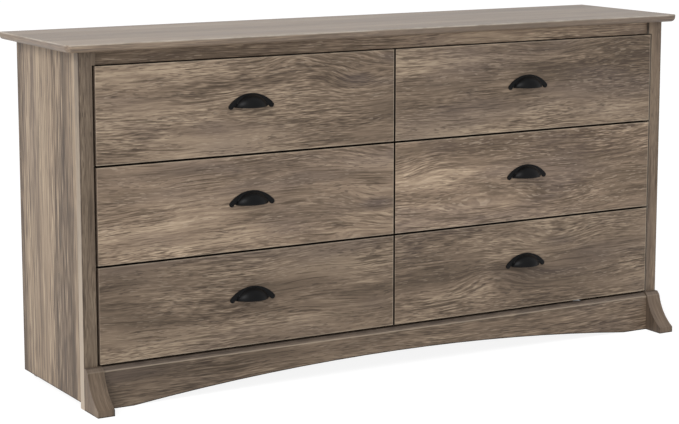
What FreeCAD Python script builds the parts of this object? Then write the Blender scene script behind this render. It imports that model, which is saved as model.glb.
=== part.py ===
import FreeCAD, Part
import os

os.makedirs("parts", exist_ok=True)

Vector = FreeCAD.Vector

# Double dresser, in millimetres. +Z is up and the drawers face -Y.
# The origin is on the floor under the middle of the dresser's box.

# Whole dresser
overall_width = 1499.0
overall_depth = 406.0
overall_height = 730.0

# Boards: laminated particle board, drawer-box board and hardboard
panel_thickness = 16.0
box_board = 12.0
hardboard = 3.0

# Top, with a rounded lower edge on the front and both ends
top_end_overhang = 30.5
top_front_overhang = 18.0
top_back_overhang = 18.0
top_corner_radius = 12.0
top_lower_radius = 10.0
top_arris_radius = 1.5

# Front posts and the bracket feet in front of them
post_width = 36.0
post_depth = 21.0
post_arris_radius = 1.5
foot_projection = 65.0
foot_height = 87.0
foot_toe_height = 13.0
foot_nose_projection = 16.0
front_bevel = 7.5
foot_flare_bow = 8.7

# Kick board with an arched lower edge, between the feet
kick_height = 85.5
kick_proud = 13.0
arch_end_flat = 64.0
arch_rise = 35.0

# Rails, side panels, partition and back
front_rail_height = 27.0
front_rail_recess = 9.0
rear_top_rail_height = 60.0
rear_bottom_rail_height = 86.0
rear_rail_setback = 12.0
side_lift = 12.5
partition_lift = 41.0
back_rebate_width = 8.0
back_bottom_lift = 45.0
back_side_gap = 0.3
back_top_gap = 1.0

# Drawer fronts: three rows and two columns, a little proud of the posts
row_count = 3
row_gap = 4.0
top_gap = 1.5
column_gap = 4.0
front_proud = 3.0
front_lap = 2.5
front_arris_radius = 1.0
seat_gap = 0.5
rebate_gap = 5.0

# Drawer boxes
runner_space = 13.0
box_height = 130.0
box_lift = 22.0
box_length = 260.0
bottom_lift = 10.0
groove_depth = 5.0
groove_gap = 0.15

# Nylon runners on the drawer sides, in steel channel tracks on the case
runner_width = 9.0
runner_height = 12.0
runner_lift = 59.0
runner_front_gap = 4.0
runner_gap = 0.3
runner_groove_depth = 2.5
drawer_travel = 200.0
stop_gap = 0.3
track_sheet = 1.2
track_flange = 11.8
track_length = 262.0
track_setback = 2.0
tab_depth = 2.0
packer_margin = 15.0

# Cam fittings: a disc let into one board and a bolt screwed into the other
cam_radius = 7.5
cam_setback = 24.0
cam_grip = 3.5
bolt_radius = 3.0
bolt_bite = 10.5
fit_gap = 0.05

# Screws and nails
track_screw_radius = 3.1
track_screw_bite = 7.5
track_screw_head_radius = 4.2
track_screw_head_height = 1.8
track_screw_inset = 30.0
runner_screw_radius = 1.75
runner_screw_head_radius = 3.5
runner_screw_head_height = 2.0
runner_screw_sink = 3.0
runner_screw_bite = 8.0
runner_screw_inset = 45.0
box_screw_radius = 2.5
box_screw_head_radius = 5.0
box_screw_head_height = 3.0
box_screw_length = 40.0
foot_screw_radius = 2.5
foot_screw_head_radius = 4.5
foot_screw_head_height = 3.0
foot_screw_length = 33.0
foot_screw_inset = 15.5
nail_radius = 0.8
nail_head_radius = 2.2
nail_head_height = 0.8
nail_bite = 13.0
nail_spacing = 122.0
nail_edge_inset = 30.0

# Cup pulls, cast, with a flanged rim and two screw bosses
pull_rise = 10.0
pull_ear_radius = 5.5
pull_ear_reach = 46.5
pull_flange_height = 31.5
pull_flange_thickness = 2.4
pull_lip_lift = 4.5
pull_dome_half_width = 38.0
pull_dome_height = 25.0
pull_wall = 2.0
pull_boss_reach = 32.0
pull_boss_radius = 3.2
pull_boss_lift = 4.6
pull_boss_length = 7.0
pull_screw_radius = 2.0
pull_screw_bite = 5.5
pull_screw_head_radius = 4.0
pull_screw_head_height = 2.4

# How far cutting shapes run past the faces that they open
overrun = 1.0

# Shares of a length, for fittings placed along a board
post_cam_shares = [0.07, 0.36, 0.63, 0.93]
side_cam_shares = [0.2, 0.8]
box_cam_shares = [0.27, 0.77]
kick_cam_shares = [0.27, 0.72]
foot_screw_shares = [0.25, 0.7]
rear_top_cam_share = 0.3
rear_top_nail_share = 0.65
rear_low_nail_share = 0.75
ear_turn_share = 0.7071

# Planes worked out from the sizes above
half_depth = overall_depth / 2
case_half_width = overall_width / 2 - top_end_overhang
post_face = foot_projection - half_depth
case_back = half_depth - top_back_overhang
top_underside = overall_height - panel_thickness
side_face = panel_thickness - case_half_width
post_inner = post_width - case_half_width
post_rear = post_face + post_depth
partition_half = panel_thickness / 2
front_face = post_face - front_proud
front_rear = front_face + panel_thickness
seat_plane = front_rear + seat_gap
rail_face = post_face + front_rail_recess
rail_bottom = top_underside - front_rail_height
kick_face = post_face - kick_proud
kick_rear = kick_face + panel_thickness
rear_rail_back = case_back - rear_rail_setback
rear_rail_face = rear_rail_back - panel_thickness
back_rear = rear_rail_back + hardboard

fronts_height = rail_bottom - top_gap - kick_height - row_gap * row_count
front_height = fronts_height / row_count
row_pitch = front_height + row_gap
front_outer = post_inner - front_lap
front_inner = -column_gap / 2
box_outer = post_inner + runner_space
box_inner = -partition_half - runner_space
box_rear = front_rear + box_length
track_front = post_rear + track_setback
track_rear = track_front + track_length
track_height = runner_height + 2 * (runner_gap + track_sheet)

row_names = ["lower", "middle", "upper"]


def block(x, y, z):
    """A box between the low and high end of each pair."""
    size = [pair[1] - pair[0] for pair in (x, y, z)]
    return Part.makeBox(size[0], size[1], size[2], Vector(x[0], y[0], z[0]))


def rod(start, direction, length, radius):
    return Part.makeCylinder(radius, length, start, direction)


def mirrored(shape):
    """The same piece on the other side of the dresser."""
    return shape.mirror(Vector(0, 0, 0), Vector(1, 0, 0))


def drilled(board, tools):
    """The board with every tool cut from it, as one solid."""
    return board.cut(tools).Solids[0] if tools else board


def save(name, solids):
    shape = solids[0] if len(solids) == 1 else Part.makeCompound(solids)
    shape.exportStep("parts/" + name + ".step")


def edges_where(shape, test):
    """Edges of a shape whose two ends both pass the test."""
    return [edge for edge in shape.Edges if all(test(vertex.Point) for vertex in edge.Vertexes)]


def near(value, target):
    return abs(value - target) < fit_gap


class Fitting:
    """A fastener's solids and the holes that they need."""

    def __init__(self, solids, holes):
        self.solids = solids
        self.holes = holes


def cam_fitting(end, into, face, thickness):
    """A cam disc let into a board's face, and the bolt that draws the board's end to another board.

    end is the middle of the board's end, into points along the board, face is the disc's side.
    """
    depth = thickness / 2 + cam_grip
    mouth = end + into * cam_setback + face * (thickness / 2)
    disc = rod(mouth, -face, depth, cam_radius)
    pocket = rod(mouth + face * overrun, -face, depth + overrun + fit_gap, cam_radius + fit_gap)
    root = end - into * bolt_bite
    bolt = rod(root, into, bolt_bite + cam_setback - cam_radius - fit_gap, bolt_radius)
    bore = rod(root - into * fit_gap, into, bolt_bite + cam_setback, bolt_radius + fit_gap)
    return Fitting([disc, bolt], [pocket, bore])


def screw(seat, inward, length, radius, head_radius, head_height, sink):
    """A screw whose head's underside is sink below the seat, with its shank going inward."""
    under_head = seat + inward * sink
    shank = rod(under_head, inward, length, radius)
    head = rod(under_head, -inward, head_height, head_radius)
    hole = rod(seat - inward * overrun, inward, overrun + sink + length + fit_gap, radius + fit_gap)
    holes = [hole]
    if sink > 0:
        holes.append(rod(seat - inward * overrun, inward, overrun + sink, head_radius + fit_gap))
    return Fitting([shank.fuse(head).removeSplitter()], holes)


def spread(low, high, shares):
    return [low + (high - low) * share for share in shares]


def even_places(low, high, spacing):
    """Evenly spaced places from low to high, no further apart than the spacing."""
    count = max(1, round((high - low) / spacing))
    return [low + (high - low) * step / count for step in range(count + 1)]


def top_panel_blank():
    x = [-overall_width / 2, overall_width / 2]
    y = [post_face - top_front_overhang, half_depth]
    slab = block(x, y, [top_underside, overall_height])

    def at_front_corner(point):
        return near(point.y, y[0]) and (near(point.x, x[0]) or near(point.x, x[1]))

    upright = [e for e in edges_where(slab, at_front_corner) if near(e.Length, panel_thickness)]
    slab = slab.makeFillet(top_corner_radius, upright)

    def shown(edge):
        return not all(near(vertex.Point.y, y[1]) for vertex in edge.Vertexes)

    lower = edges_where(slab, lambda point: near(point.z, top_underside))
    slab = slab.makeFillet(top_lower_radius, [edge for edge in lower if shown(edge)])
    upper = edges_where(slab, lambda point: near(point.z, overall_height))
    return slab.makeFillet(top_arris_radius, [edge for edge in upper if shown(edge)])


def side_panel_blank():
    """Left side panel, with a rebate at its rear inner edge for the back."""
    panel = block([-case_half_width, side_face], [post_rear, case_back], [side_lift, top_underside])
    rebate = block(
        [side_face - back_rebate_width, side_face + overrun],
        [rear_rail_back, case_back + overrun],
        [side_lift - overrun, top_underside + overrun],
    )
    return drilled(panel, [rebate])


def front_post_blank():
    """Left post: its inner front edge is rebated over the height of the drawers."""
    post = block([-case_half_width, post_inner], [post_face, post_rear], [0, top_underside])
    outer = edges_where(post, lambda point: near(point.x, -case_half_width) and near(point.y, post_face))
    post = post.makeFillet(post_arris_radius, outer)
    rebate = block(
        [front_outer - rebate_gap, post_inner + overrun],
        [post_face - overrun, seat_plane],
        [kick_height, rail_bottom],
    )
    return drilled(post, [rebate])


def bracket_foot_blank():
    """Left foot: a bevelled nose at the top, a hollow flare and a short upright toe."""
    toe = post_face - foot_projection
    nose = post_face - foot_nose_projection
    nose_low = Vector(0, nose, foot_height - front_bevel)
    nose_high = Vector(0, nose + front_bevel, foot_height)
    toe_high = Vector(0, toe, foot_toe_height)
    chord = nose_low - toe_high
    inward = Vector(0, chord.z, -chord.y)
    inward.normalize()
    flare_middle = (toe_high + nose_low) * 0.5 + inward * foot_flare_bow
    corner = Vector(0, post_face, foot_height)
    heel = Vector(0, post_face, 0)
    toe_low = Vector(0, toe, 0)
    outline = Part.Wire([
        Part.LineSegment(heel, toe_low).toShape(),
        Part.LineSegment(toe_low, toe_high).toShape(),
        Part.Arc(toe_high, flare_middle, nose_low).toShape(),
        Part.LineSegment(nose_low, nose_high).toShape(),
        Part.LineSegment(nose_high, corner).toShape(),
        Part.LineSegment(corner, heel).toShape(),
    ])
    foot = Part.Face(outline).extrude(Vector(post_width, 0, 0))
    foot.translate(Vector(-case_half_width, 0, 0))
    return foot


def kick_board_blank():
    """Kick board between the feet: level at each end, then one long arc, with the feet's bevel on top."""
    end = post_inner
    spring = end + arch_end_flat
    corners = [
        Vector(spring, kick_face, 0),
        Vector(end, kick_face, 0),
        Vector(end, kick_face, kick_height),
        Vector(-end, kick_face, kick_height),
        Vector(-end, kick_face, 0),
        Vector(-spring, kick_face, 0),
    ]
    edges = [Part.LineSegment(a, b).toShape() for a, b in zip(corners, corners[1:])]
    edges.append(Part.Arc(corners[-1], Vector(0, kick_face, arch_rise), corners[0]).toShape())
    board = Part.Face(Part.Wire(edges)).extrude(Vector(0, panel_thickness, 0))
    arris = edges_where(board, lambda point: near(point.y, kick_face) and near(point.z, kick_height))
    return board.makeChamfer(front_bevel, arris)


def partition_blank():
    """Centre partition, notched round the front rail and both rear rails."""
    x = [-partition_half, partition_half]
    open_x = [x[0] - overrun, x[1] + overrun]
    board = block(x, [kick_rear, rear_rail_back], [partition_lift, top_underside])
    front_notch = block(open_x, [kick_rear - overrun, seat_plane], [kick_height, top_underside + overrun])
    rail_rear = rail_face + panel_thickness
    rail_notch = block(open_x, [seat_plane - overrun, rail_rear], [rail_bottom, top_underside + overrun])
    rear_y = [rear_rail_face, rear_rail_back + overrun]
    top_notch = block(open_x, rear_y, [top_underside - rear_top_rail_height, top_underside + overrun])
    low_notch = block(open_x, rear_y, [partition_lift - overrun, rear_bottom_rail_height])
    return drilled(board, [front_notch, rail_notch, top_notch, low_notch])


def back_panel_blank():
    reach = case_half_width - panel_thickness + back_rebate_width - back_side_gap
    return block([-reach, reach], [rear_rail_back, back_rear], [back_bottom_lift, top_underside - back_top_gap])


def runner_height_of(row):
    """Height of the middle of a row's runners."""
    return kick_height + row_gap + row * row_pitch + box_lift + runner_lift + runner_height / 2


def packer_blank(row):
    """Left packer strip: brings the track out to the post's inner face."""
    middle = runner_height_of(row)
    z = [middle - track_height / 2 - packer_margin, middle + track_height / 2 + packer_margin]
    return block([side_face, post_inner], [post_rear, rear_rail_face], z)


def track_blank(row):
    """Channel track on the left packer, with a stop tab bent down at the front of its top flange."""
    middle = runner_height_of(row)
    z = [middle - track_height / 2, middle + track_height / 2]
    web = post_inner + track_sheet
    lip = post_inner + track_flange
    y = [track_front, track_rear]
    channel = block([post_inner, lip], y, z)
    hollow = block(
        [web, lip + overrun],
        [y[0] - overrun, y[1] + overrun],
        [z[0] + track_sheet, z[1] - track_sheet],
    )
    tab = block([lip - runner_width / 2, lip], [y[0], y[0] + track_sheet], [z[1] - track_sheet - tab_depth, z[1]])
    return channel.cut(hollow).fuse(tab).removeSplitter().Solids[0]


def track_screws(row):
    middle = runner_height_of(row)
    places = [track_front + track_screw_inset, track_rear - track_screw_inset]
    seat_x = post_inner + track_sheet
    inward = Vector(-1, 0, 0)
    length = track_screw_bite + track_sheet
    return [
        screw(
            Vector(seat_x, y, middle), inward, length, track_screw_radius,
            track_screw_head_radius, track_screw_head_height, 0,
        )
        for y in places
    ]


def on_partition(shape):
    """A copy of a left-hand track piece, turned to face the partition's left side."""
    middle = (post_inner - partition_half) / 2
    return shape.mirror(Vector(middle, 0, 0), Vector(1, 0, 0))


def drawer_front_blank(base):
    front = block([front_outer, front_inner], [front_face, front_rear], [base, base + front_height])
    shown = edges_where(front, lambda point: near(point.y, front_face))
    return front.makeFillet(front_arris_radius, shown)


def runner_blank(base):
    """Nylon strip on the drawer's left side; its top groove ends where the stop tab meets it."""
    x = [box_outer - runner_width, box_outer]
    y = [front_rear + runner_front_gap, box_rear]
    z = [base, base + runner_height]
    groove_end = track_front + track_sheet + drawer_travel + stop_gap
    groove = block(
        [x[0] - overrun, x[1] + overrun],
        [y[0] - overrun, groove_end],
        [z[1] - runner_groove_depth, z[1] + overrun],
    )
    return drilled(block(x, y, z), [groove])


def arc_face(half_width, height, x_axis_z):
    """The flat shape between a chord and the arc that rises over it."""
    left = Vector(-half_width, 0, x_axis_z)
    top = Vector(0, 0, x_axis_z + height)
    right = Vector(half_width, 0, x_axis_z)
    return Part.Face(Part.Wire([Part.Arc(left, top, right).toShape(), Part.LineSegment(right, left).toShape()]))


def pull_flange():
    """Rim of the pull: two round ears joined over the top by one arc."""
    ear = Vector(pull_ear_reach, 0, pull_ear_radius)
    turn = pull_ear_radius * ear_turn_share
    shoulder = ear + Vector(turn, 0, turn)
    ear_low = ear + Vector(turn, 0, -turn)
    drop = pull_ear_radius - pull_lip_lift
    reach = (pull_ear_radius ** 2 - drop ** 2) ** 0.5
    lip_end = Vector(pull_ear_reach - reach, 0, pull_lip_lift)
    ear_bottom = Vector(pull_ear_reach, 0, 0)

    def other(point):
        return Vector(-point.x, point.y, point.z)

    outline = Part.Wire([
        Part.Arc(other(shoulder), Vector(0, 0, pull_flange_height), shoulder).toShape(),
        Part.Arc(shoulder, ear_low, ear_bottom).toShape(),
        Part.Arc(ear_bottom, ear + Vector(-turn, 0, -turn), lip_end).toShape(),
        Part.LineSegment(lip_end, other(lip_end)).toShape(),
        Part.Arc(other(lip_end), other(ear + Vector(-turn, 0, -turn)), other(ear_bottom)).toShape(),
        Part.Arc(other(ear_bottom), other(ear_low), other(shoulder)).toShape(),
    ])
    return Part.Face(outline).extrude(Vector(0, -pull_flange_thickness, 0))


def cup_pull_blank():
    """Cup pull about its own lip: an arc swept a quarter turn about the lip line makes the dome."""
    axis = Vector(0, 0, pull_lip_lift)
    along = Vector(1, 0, 0)
    quarter_turn = 90
    outer = arc_face(pull_dome_half_width, pull_dome_height, pull_lip_lift)
    inner = arc_face(pull_dome_half_width - pull_wall, pull_dome_height - pull_wall, pull_lip_lift)
    dome = outer.revolve(axis, along, quarter_turn)
    hollow = inner.revolve(axis, along, quarter_turn)
    pull = pull_flange().fuse(dome).cut(hollow)
    for side in (-1, 1):
        root = Vector(side * pull_boss_reach, 0, pull_lip_lift + pull_boss_lift)
        pull = pull.fuse(rod(root, Vector(0, -1, 0), pull_boss_length, pull_boss_radius))
    return pull.removeSplitter()


def drawer(row):
    """Every piece of one left-hand drawer, as a dictionary of lists of solids."""
    base = kick_height + row_gap + row * row_pitch
    box_base = base + box_lift
    box_top = box_base + box_height
    bottom_z = [box_base + bottom_lift, box_base + bottom_lift + hardboard]
    side_inner = box_outer + box_board
    far_inner = box_inner - box_board
    back_face = box_rear - box_board

    front = drawer_front_blank(base)
    near_side = block([box_outer, side_inner], [front_rear, box_rear], [box_base, box_top])
    far_side = block([far_inner, box_inner], [front_rear, box_rear], [box_base, box_top])
    back = block([side_inner, far_inner], [back_face, box_rear], [box_base, box_top])
    runner = runner_blank(box_base + runner_lift)

    reach = groove_depth - groove_gap
    bottom = block([side_inner - reach, far_inner + reach], [front_rear - reach, back_face + reach], bottom_z)
    groove = block(
        [side_inner - groove_depth, far_inner + groove_depth],
        [front_rear - groove_depth, back_face + groove_depth],
        [bottom_z[0] - groove_gap, bottom_z[1] + groove_gap],
    )

    fittings = []
    middle_x = (box_outer + box_inner) / 2

    def to_far_side(shape):
        return shape.mirror(Vector(middle_x, 0, 0), Vector(1, 0, 0))

    def add_pair(fitting):
        fittings.append(fitting)
        copies = [[to_far_side(shape) for shape in shapes] for shapes in (fitting.solids, fitting.holes)]
        fittings.append(Fitting(copies[0], copies[1]))

    for z in spread(box_base, box_top, box_cam_shares):
        end = Vector(box_outer + box_board / 2, front_rear, z)
        add_pair(cam_fitting(end, Vector(0, 1, 0), Vector(1, 0, 0), box_board))
        seat = Vector(box_outer, box_rear - box_board / 2, z)
        length = box_screw_length - box_screw_head_height
        add_pair(screw(
            seat, Vector(1, 0, 0), length, box_screw_radius,
            box_screw_head_radius, box_screw_head_height, box_screw_head_height,
        ))
    for y in (front_rear + runner_screw_inset, box_rear - runner_screw_inset):
        seat = Vector(box_outer - runner_width, y, box_base + runner_lift + runner_height / 2)
        length = runner_width - runner_screw_sink + runner_screw_bite
        add_pair(screw(
            seat, Vector(1, 0, 0), length, runner_screw_radius,
            runner_screw_head_radius, runner_screw_head_height, runner_screw_sink,
        ))

    centre = (front_outer + front_inner) / 2
    lift = base + front_height / 2 + pull_rise - pull_flange_height / 2
    pull = cup_pull_blank()
    pull.translate(Vector(centre, front_face, lift))
    for side in (-1, 1):
        seat = Vector(centre + side * pull_boss_reach, front_rear, lift + pull_lip_lift + pull_boss_lift)
        fittings.append(screw(
            seat, Vector(0, -1, 0), panel_thickness + pull_screw_bite, pull_screw_radius,
            pull_screw_head_radius, pull_screw_head_height, 0,
        ))

    holes = [hole for fitting in fittings for hole in fitting.holes]
    return {
        "front": [drilled(front, holes + [groove])],
        "sides": [drilled(near_side, holes + [groove]), drilled(far_side, holes + [groove])],
        "back": [drilled(back, holes + [groove])],
        "bottom": [bottom],
        "runners": [drilled(runner, holes), drilled(to_far_side(runner), holes)],
        "cup_pull": [drilled(pull, holes)],
        "fasteners": [solid for fitting in fittings for solid in fitting.solids],
    }


def both_sides(fitting):
    """A fitting of the left half and its mirror image."""
    other = Fitting([mirrored(s) for s in fitting.solids], [mirrored(h) for h in fitting.holes])
    return [fitting, other]


def case_cams():
    """Cam fittings that hold the case together."""
    left = Vector(-1, 0, 0)
    right = Vector(1, 0, 0)
    back = Vector(0, 1, 0)
    front = Vector(0, -1, 0)
    down = Vector(0, 0, -1)
    cams = []
    side_middle = -case_half_width + panel_thickness / 2
    for y in spread(post_rear, rear_rail_face, side_cam_shares):
        cams += both_sides(cam_fitting(Vector(side_middle, y, top_underside), down, right, panel_thickness))
        cams.append(cam_fitting(Vector(0, y, top_underside), down, right, panel_thickness))
    for z in spread(side_lift, top_underside, post_cam_shares):
        cams += both_sides(cam_fitting(Vector(side_middle, post_rear, z), back, right, panel_thickness))
    front_rail_end = Vector(post_inner, rail_face + panel_thickness / 2, rail_bottom + front_rail_height / 2)
    cams += both_sides(cam_fitting(front_rail_end, right, back, panel_thickness))
    rail_middle = rear_rail_face + panel_thickness / 2
    for z in spread(0, kick_height, kick_cam_shares):
        cams += both_sides(cam_fitting(Vector(side_face, rail_middle, z), right, front, panel_thickness))
        kick_end = Vector(post_inner, kick_face + panel_thickness / 2, z)
        cams += both_sides(cam_fitting(kick_end, right, back, panel_thickness))
    top_cam_z = top_underside - rear_top_rail_height * (1 - rear_top_cam_share)
    cams += both_sides(cam_fitting(Vector(side_face, rail_middle, top_cam_z), right, front, panel_thickness))
    low_middle = (partition_lift + kick_height) / 2
    cams.append(cam_fitting(Vector(0, kick_rear, low_middle), back, left, panel_thickness))
    cams.append(cam_fitting(Vector(0, rear_rail_face, low_middle), front, left, panel_thickness))
    cams.append(cam_fitting(Vector(0, rear_rail_face, top_cam_z), front, left, panel_thickness))
    return cams


def foot_screws():
    """Screws through each post from behind, into its foot."""
    x = post_inner - foot_screw_inset
    made = []
    for z in spread(0, foot_height, foot_screw_shares):
        made += both_sides(screw(
            Vector(x, post_rear, z), Vector(0, -1, 0), foot_screw_length, foot_screw_radius,
            foot_screw_head_radius, foot_screw_head_height, foot_screw_head_height,
        ))
    return made


def back_nails():
    """Nails round the back panel and up the partition."""
    rebate_middle = side_face - back_rebate_width / 2
    high = top_underside - rear_top_rail_height * (1 - rear_top_nail_share)
    low = back_bottom_lift + (rear_bottom_rail_height - back_bottom_lift) * rear_low_nail_share
    places = []
    for z in even_places(low, high, nail_spacing):
        places += [(rebate_middle, z), (-rebate_middle, z)]
    for z in even_places(rear_bottom_rail_height, top_underside - rear_top_rail_height, nail_spacing)[1:-1]:
        places.append((0, z))
    edge = side_face + nail_edge_inset
    for x in even_places(edge, -edge, nail_spacing):
        places += [(x, low), (x, high)]
    return [
        screw(
            Vector(x, back_rear, z), Vector(0, -1, 0), hardboard + nail_bite, nail_radius,
            nail_head_radius, nail_head_height, 0,
        )
        for x, z in places
    ]


def build_case():
    cams = case_cams()
    screws = foot_screws()
    nails = back_nails()
    fittings = cams + screws + nails
    rows = range(row_count)

    tracks = []
    packers = []
    for row in rows:
        row_screws = track_screws(row)
        row_screws += [
            Fitting([on_partition(s) for s in f.solids], [on_partition(h) for h in f.holes])
            for f in row_screws
        ]
        for fitting in row_screws:
            screws += both_sides(fitting)
        holes = [hole for fitting in row_screws for hole in fitting.holes]
        track = drilled(track_blank(row), holes)
        partition_track = drilled(on_partition(track_blank(row)), holes)
        tracks += [track, partition_track, mirrored(track), mirrored(partition_track)]
        packer = drilled(packer_blank(row), holes)
        packers += [packer, mirrored(packer)]
    fittings = cams + screws + nails
    holes = [hole for fitting in fittings for hole in fitting.holes]

    def boards(name, blanks):
        save(name, [drilled(blank, holes) for blank in blanks])

    case_inner = [side_face, -side_face]
    rear_y = [rear_rail_face, rear_rail_back]
    rail_y = [rail_face, rail_face + panel_thickness]
    boards("top_panel", [top_panel_blank()])
    boards("left_side_panel", [side_panel_blank()])
    boards("right_side_panel", [mirrored(side_panel_blank())])
    boards("left_front_post", [front_post_blank()])
    boards("right_front_post", [mirrored(front_post_blank())])
    boards("left_bracket_foot", [bracket_foot_blank()])
    boards("right_bracket_foot", [mirrored(bracket_foot_blank())])
    boards("arched_kick_board", [kick_board_blank()])
    boards("top_front_rail", [block([post_inner, -post_inner], rail_y, [rail_bottom, top_underside])])
    boards("centre_partition", [partition_blank()])
    boards("back_panel", [back_panel_blank()])
    boards("rear_top_rail", [block(case_inner, rear_y, [top_underside - rear_top_rail_height, top_underside])])
    boards("rear_bottom_rail", [block(case_inner, rear_y, [0, rear_bottom_rail_height])])
    save("runner_packers", packers)
    save("runner_tracks", tracks)
    save("cam_fittings", [solid for fitting in cams for solid in fitting.solids])
    save("case_screws", [solid for fitting in screws for solid in fitting.solids])
    save("back_panel_nails", [solid for fitting in nails for solid in fitting.solids])


def build_drawers():
    for row in range(row_count):
        for piece, solids in drawer(row).items():
            save(row_names[row] + "_left_" + piece, solids)
            save(row_names[row] + "_right_" + piece, [mirrored(solid) for solid in solids])


build_case()
build_drawers()
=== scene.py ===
import math

import bmesh
import bpy
import numpy as np
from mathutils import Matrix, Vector


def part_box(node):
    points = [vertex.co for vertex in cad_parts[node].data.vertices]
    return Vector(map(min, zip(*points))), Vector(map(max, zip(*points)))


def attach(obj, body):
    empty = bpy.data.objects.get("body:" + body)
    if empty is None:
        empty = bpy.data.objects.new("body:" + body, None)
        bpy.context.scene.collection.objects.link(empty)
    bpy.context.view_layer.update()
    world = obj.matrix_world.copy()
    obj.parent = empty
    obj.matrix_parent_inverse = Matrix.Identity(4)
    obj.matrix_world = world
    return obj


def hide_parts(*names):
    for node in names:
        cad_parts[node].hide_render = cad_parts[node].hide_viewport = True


# A double dresser of printed oak boards: materials for every board and fitting, finer cup pulls, a studio
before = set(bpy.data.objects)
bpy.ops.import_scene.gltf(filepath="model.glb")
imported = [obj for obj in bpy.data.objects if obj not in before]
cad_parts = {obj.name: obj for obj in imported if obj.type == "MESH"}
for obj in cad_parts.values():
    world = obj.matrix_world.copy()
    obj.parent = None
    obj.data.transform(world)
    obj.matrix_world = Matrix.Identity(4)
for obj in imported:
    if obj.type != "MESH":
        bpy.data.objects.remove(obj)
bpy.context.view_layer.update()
millimetre = 0.001

# Sides of a piece as (axis, end), end 0 for the low side and 1 for the high one; the front is the low y
lowX, highX, front, rear, bottom, top = [(axis, end) for axis in (0, 1, 2) for end in (0, 1)]


# Colours and nodes


def linear(hexColour):
    # c = s / 12.92 below 0.04045, and ((s + 0.055) / 1.055) ^ 2.4 above
    parts = [int(hexColour[k:k + 2], 16) / 255 for k in (1, 3, 5)]
    return tuple(s / 12.92 if s <= 0.04045 else ((s + 0.055) / 1.055) ** 2.4 for s in parts) + (1,)


def grey(level):
    return (level, level, level, 1)


def addNode(tree, kind, settings=None, links=None):
    # settings name a socket, by name or number, or a property; stops are a ramp's places and colours
    # a link's source is a socket, or a node for its first output
    node = tree.nodes.new(kind)
    for name, value in (settings or {}).items():
        if name == "stops":
            elements = node.color_ramp.elements
            while len(elements) < len(value):
                elements.new(0.5)
            for element, (place, colour) in zip(elements, value):
                element.position = place
                element.color = linear(colour)
        elif isinstance(name, int) or name in node.inputs:
            node.inputs[name].default_value = value
        else:
            setattr(node, name, value)
    for name, source in (links or {}).items():
        tree.links.new(source.outputs[0] if hasattr(source, "outputs") else source, node.inputs[name])
    return node


# A map range's settings for a smooth fall to 0
fadeOut = {"interpolation_type": "SMOOTHSTEP", "To Min": 1.0, "To Max": 0.0}


def newMaterial(name):
    # An empty material, its nodes, and the socket of a piece's own coordinates
    material = bpy.data.materials.new(name)
    material.use_nodes = True
    tree = material.node_tree
    tree.nodes.clear()
    return material, tree, addNode(tree, "ShaderNodeTexCoord").outputs["Object"]


def closeMaterial(tree, height, relief, settings, links):
    # The last nodes of a material; relief is how strongly the height shows, and its depth in metres
    strength, depth = relief
    bump = addNode(tree, "ShaderNodeBump", {"Strength": strength, "Distance": depth}, {"Height": height})
    shader = addNode(tree, "ShaderNodeBsdfPrincipled", settings, {**links, "Normal": bump})
    addNode(tree, "ShaderNodeOutputMaterial", None, {"Surface": shader})


def drawnNoise(tree, place, cells, detail, roughness=0.5):
    # noise(x cx, y cy, z cz), where cells = (cx, cy, cz) says how many of its cells lie in a metre
    scaled = addNode(tree, "ShaderNodeVectorMath", {"operation": "MULTIPLY", 1: cells}, {0: place})
    return addNode(tree, "ShaderNodeTexNoise", {"Scale": 1.0, "Detail": detail, "Roughness": roughness},
                   {"Vector": scaled})


def overlay(tree, colour, tint, *shares):
    # colour + s (tint - colour), where s is the product of the shares
    share = shares[0]
    for other in shares[1:]:
        share = addNode(tree, "ShaderNodeMath", {"operation": "MULTIPLY"}, {0: share, 1: other})
    return addNode(tree, "ShaderNodeMix", {"data_type": "RGBA", 7: linear(tint)},
                   {6: colour, 0: share}).outputs[2]


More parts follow.
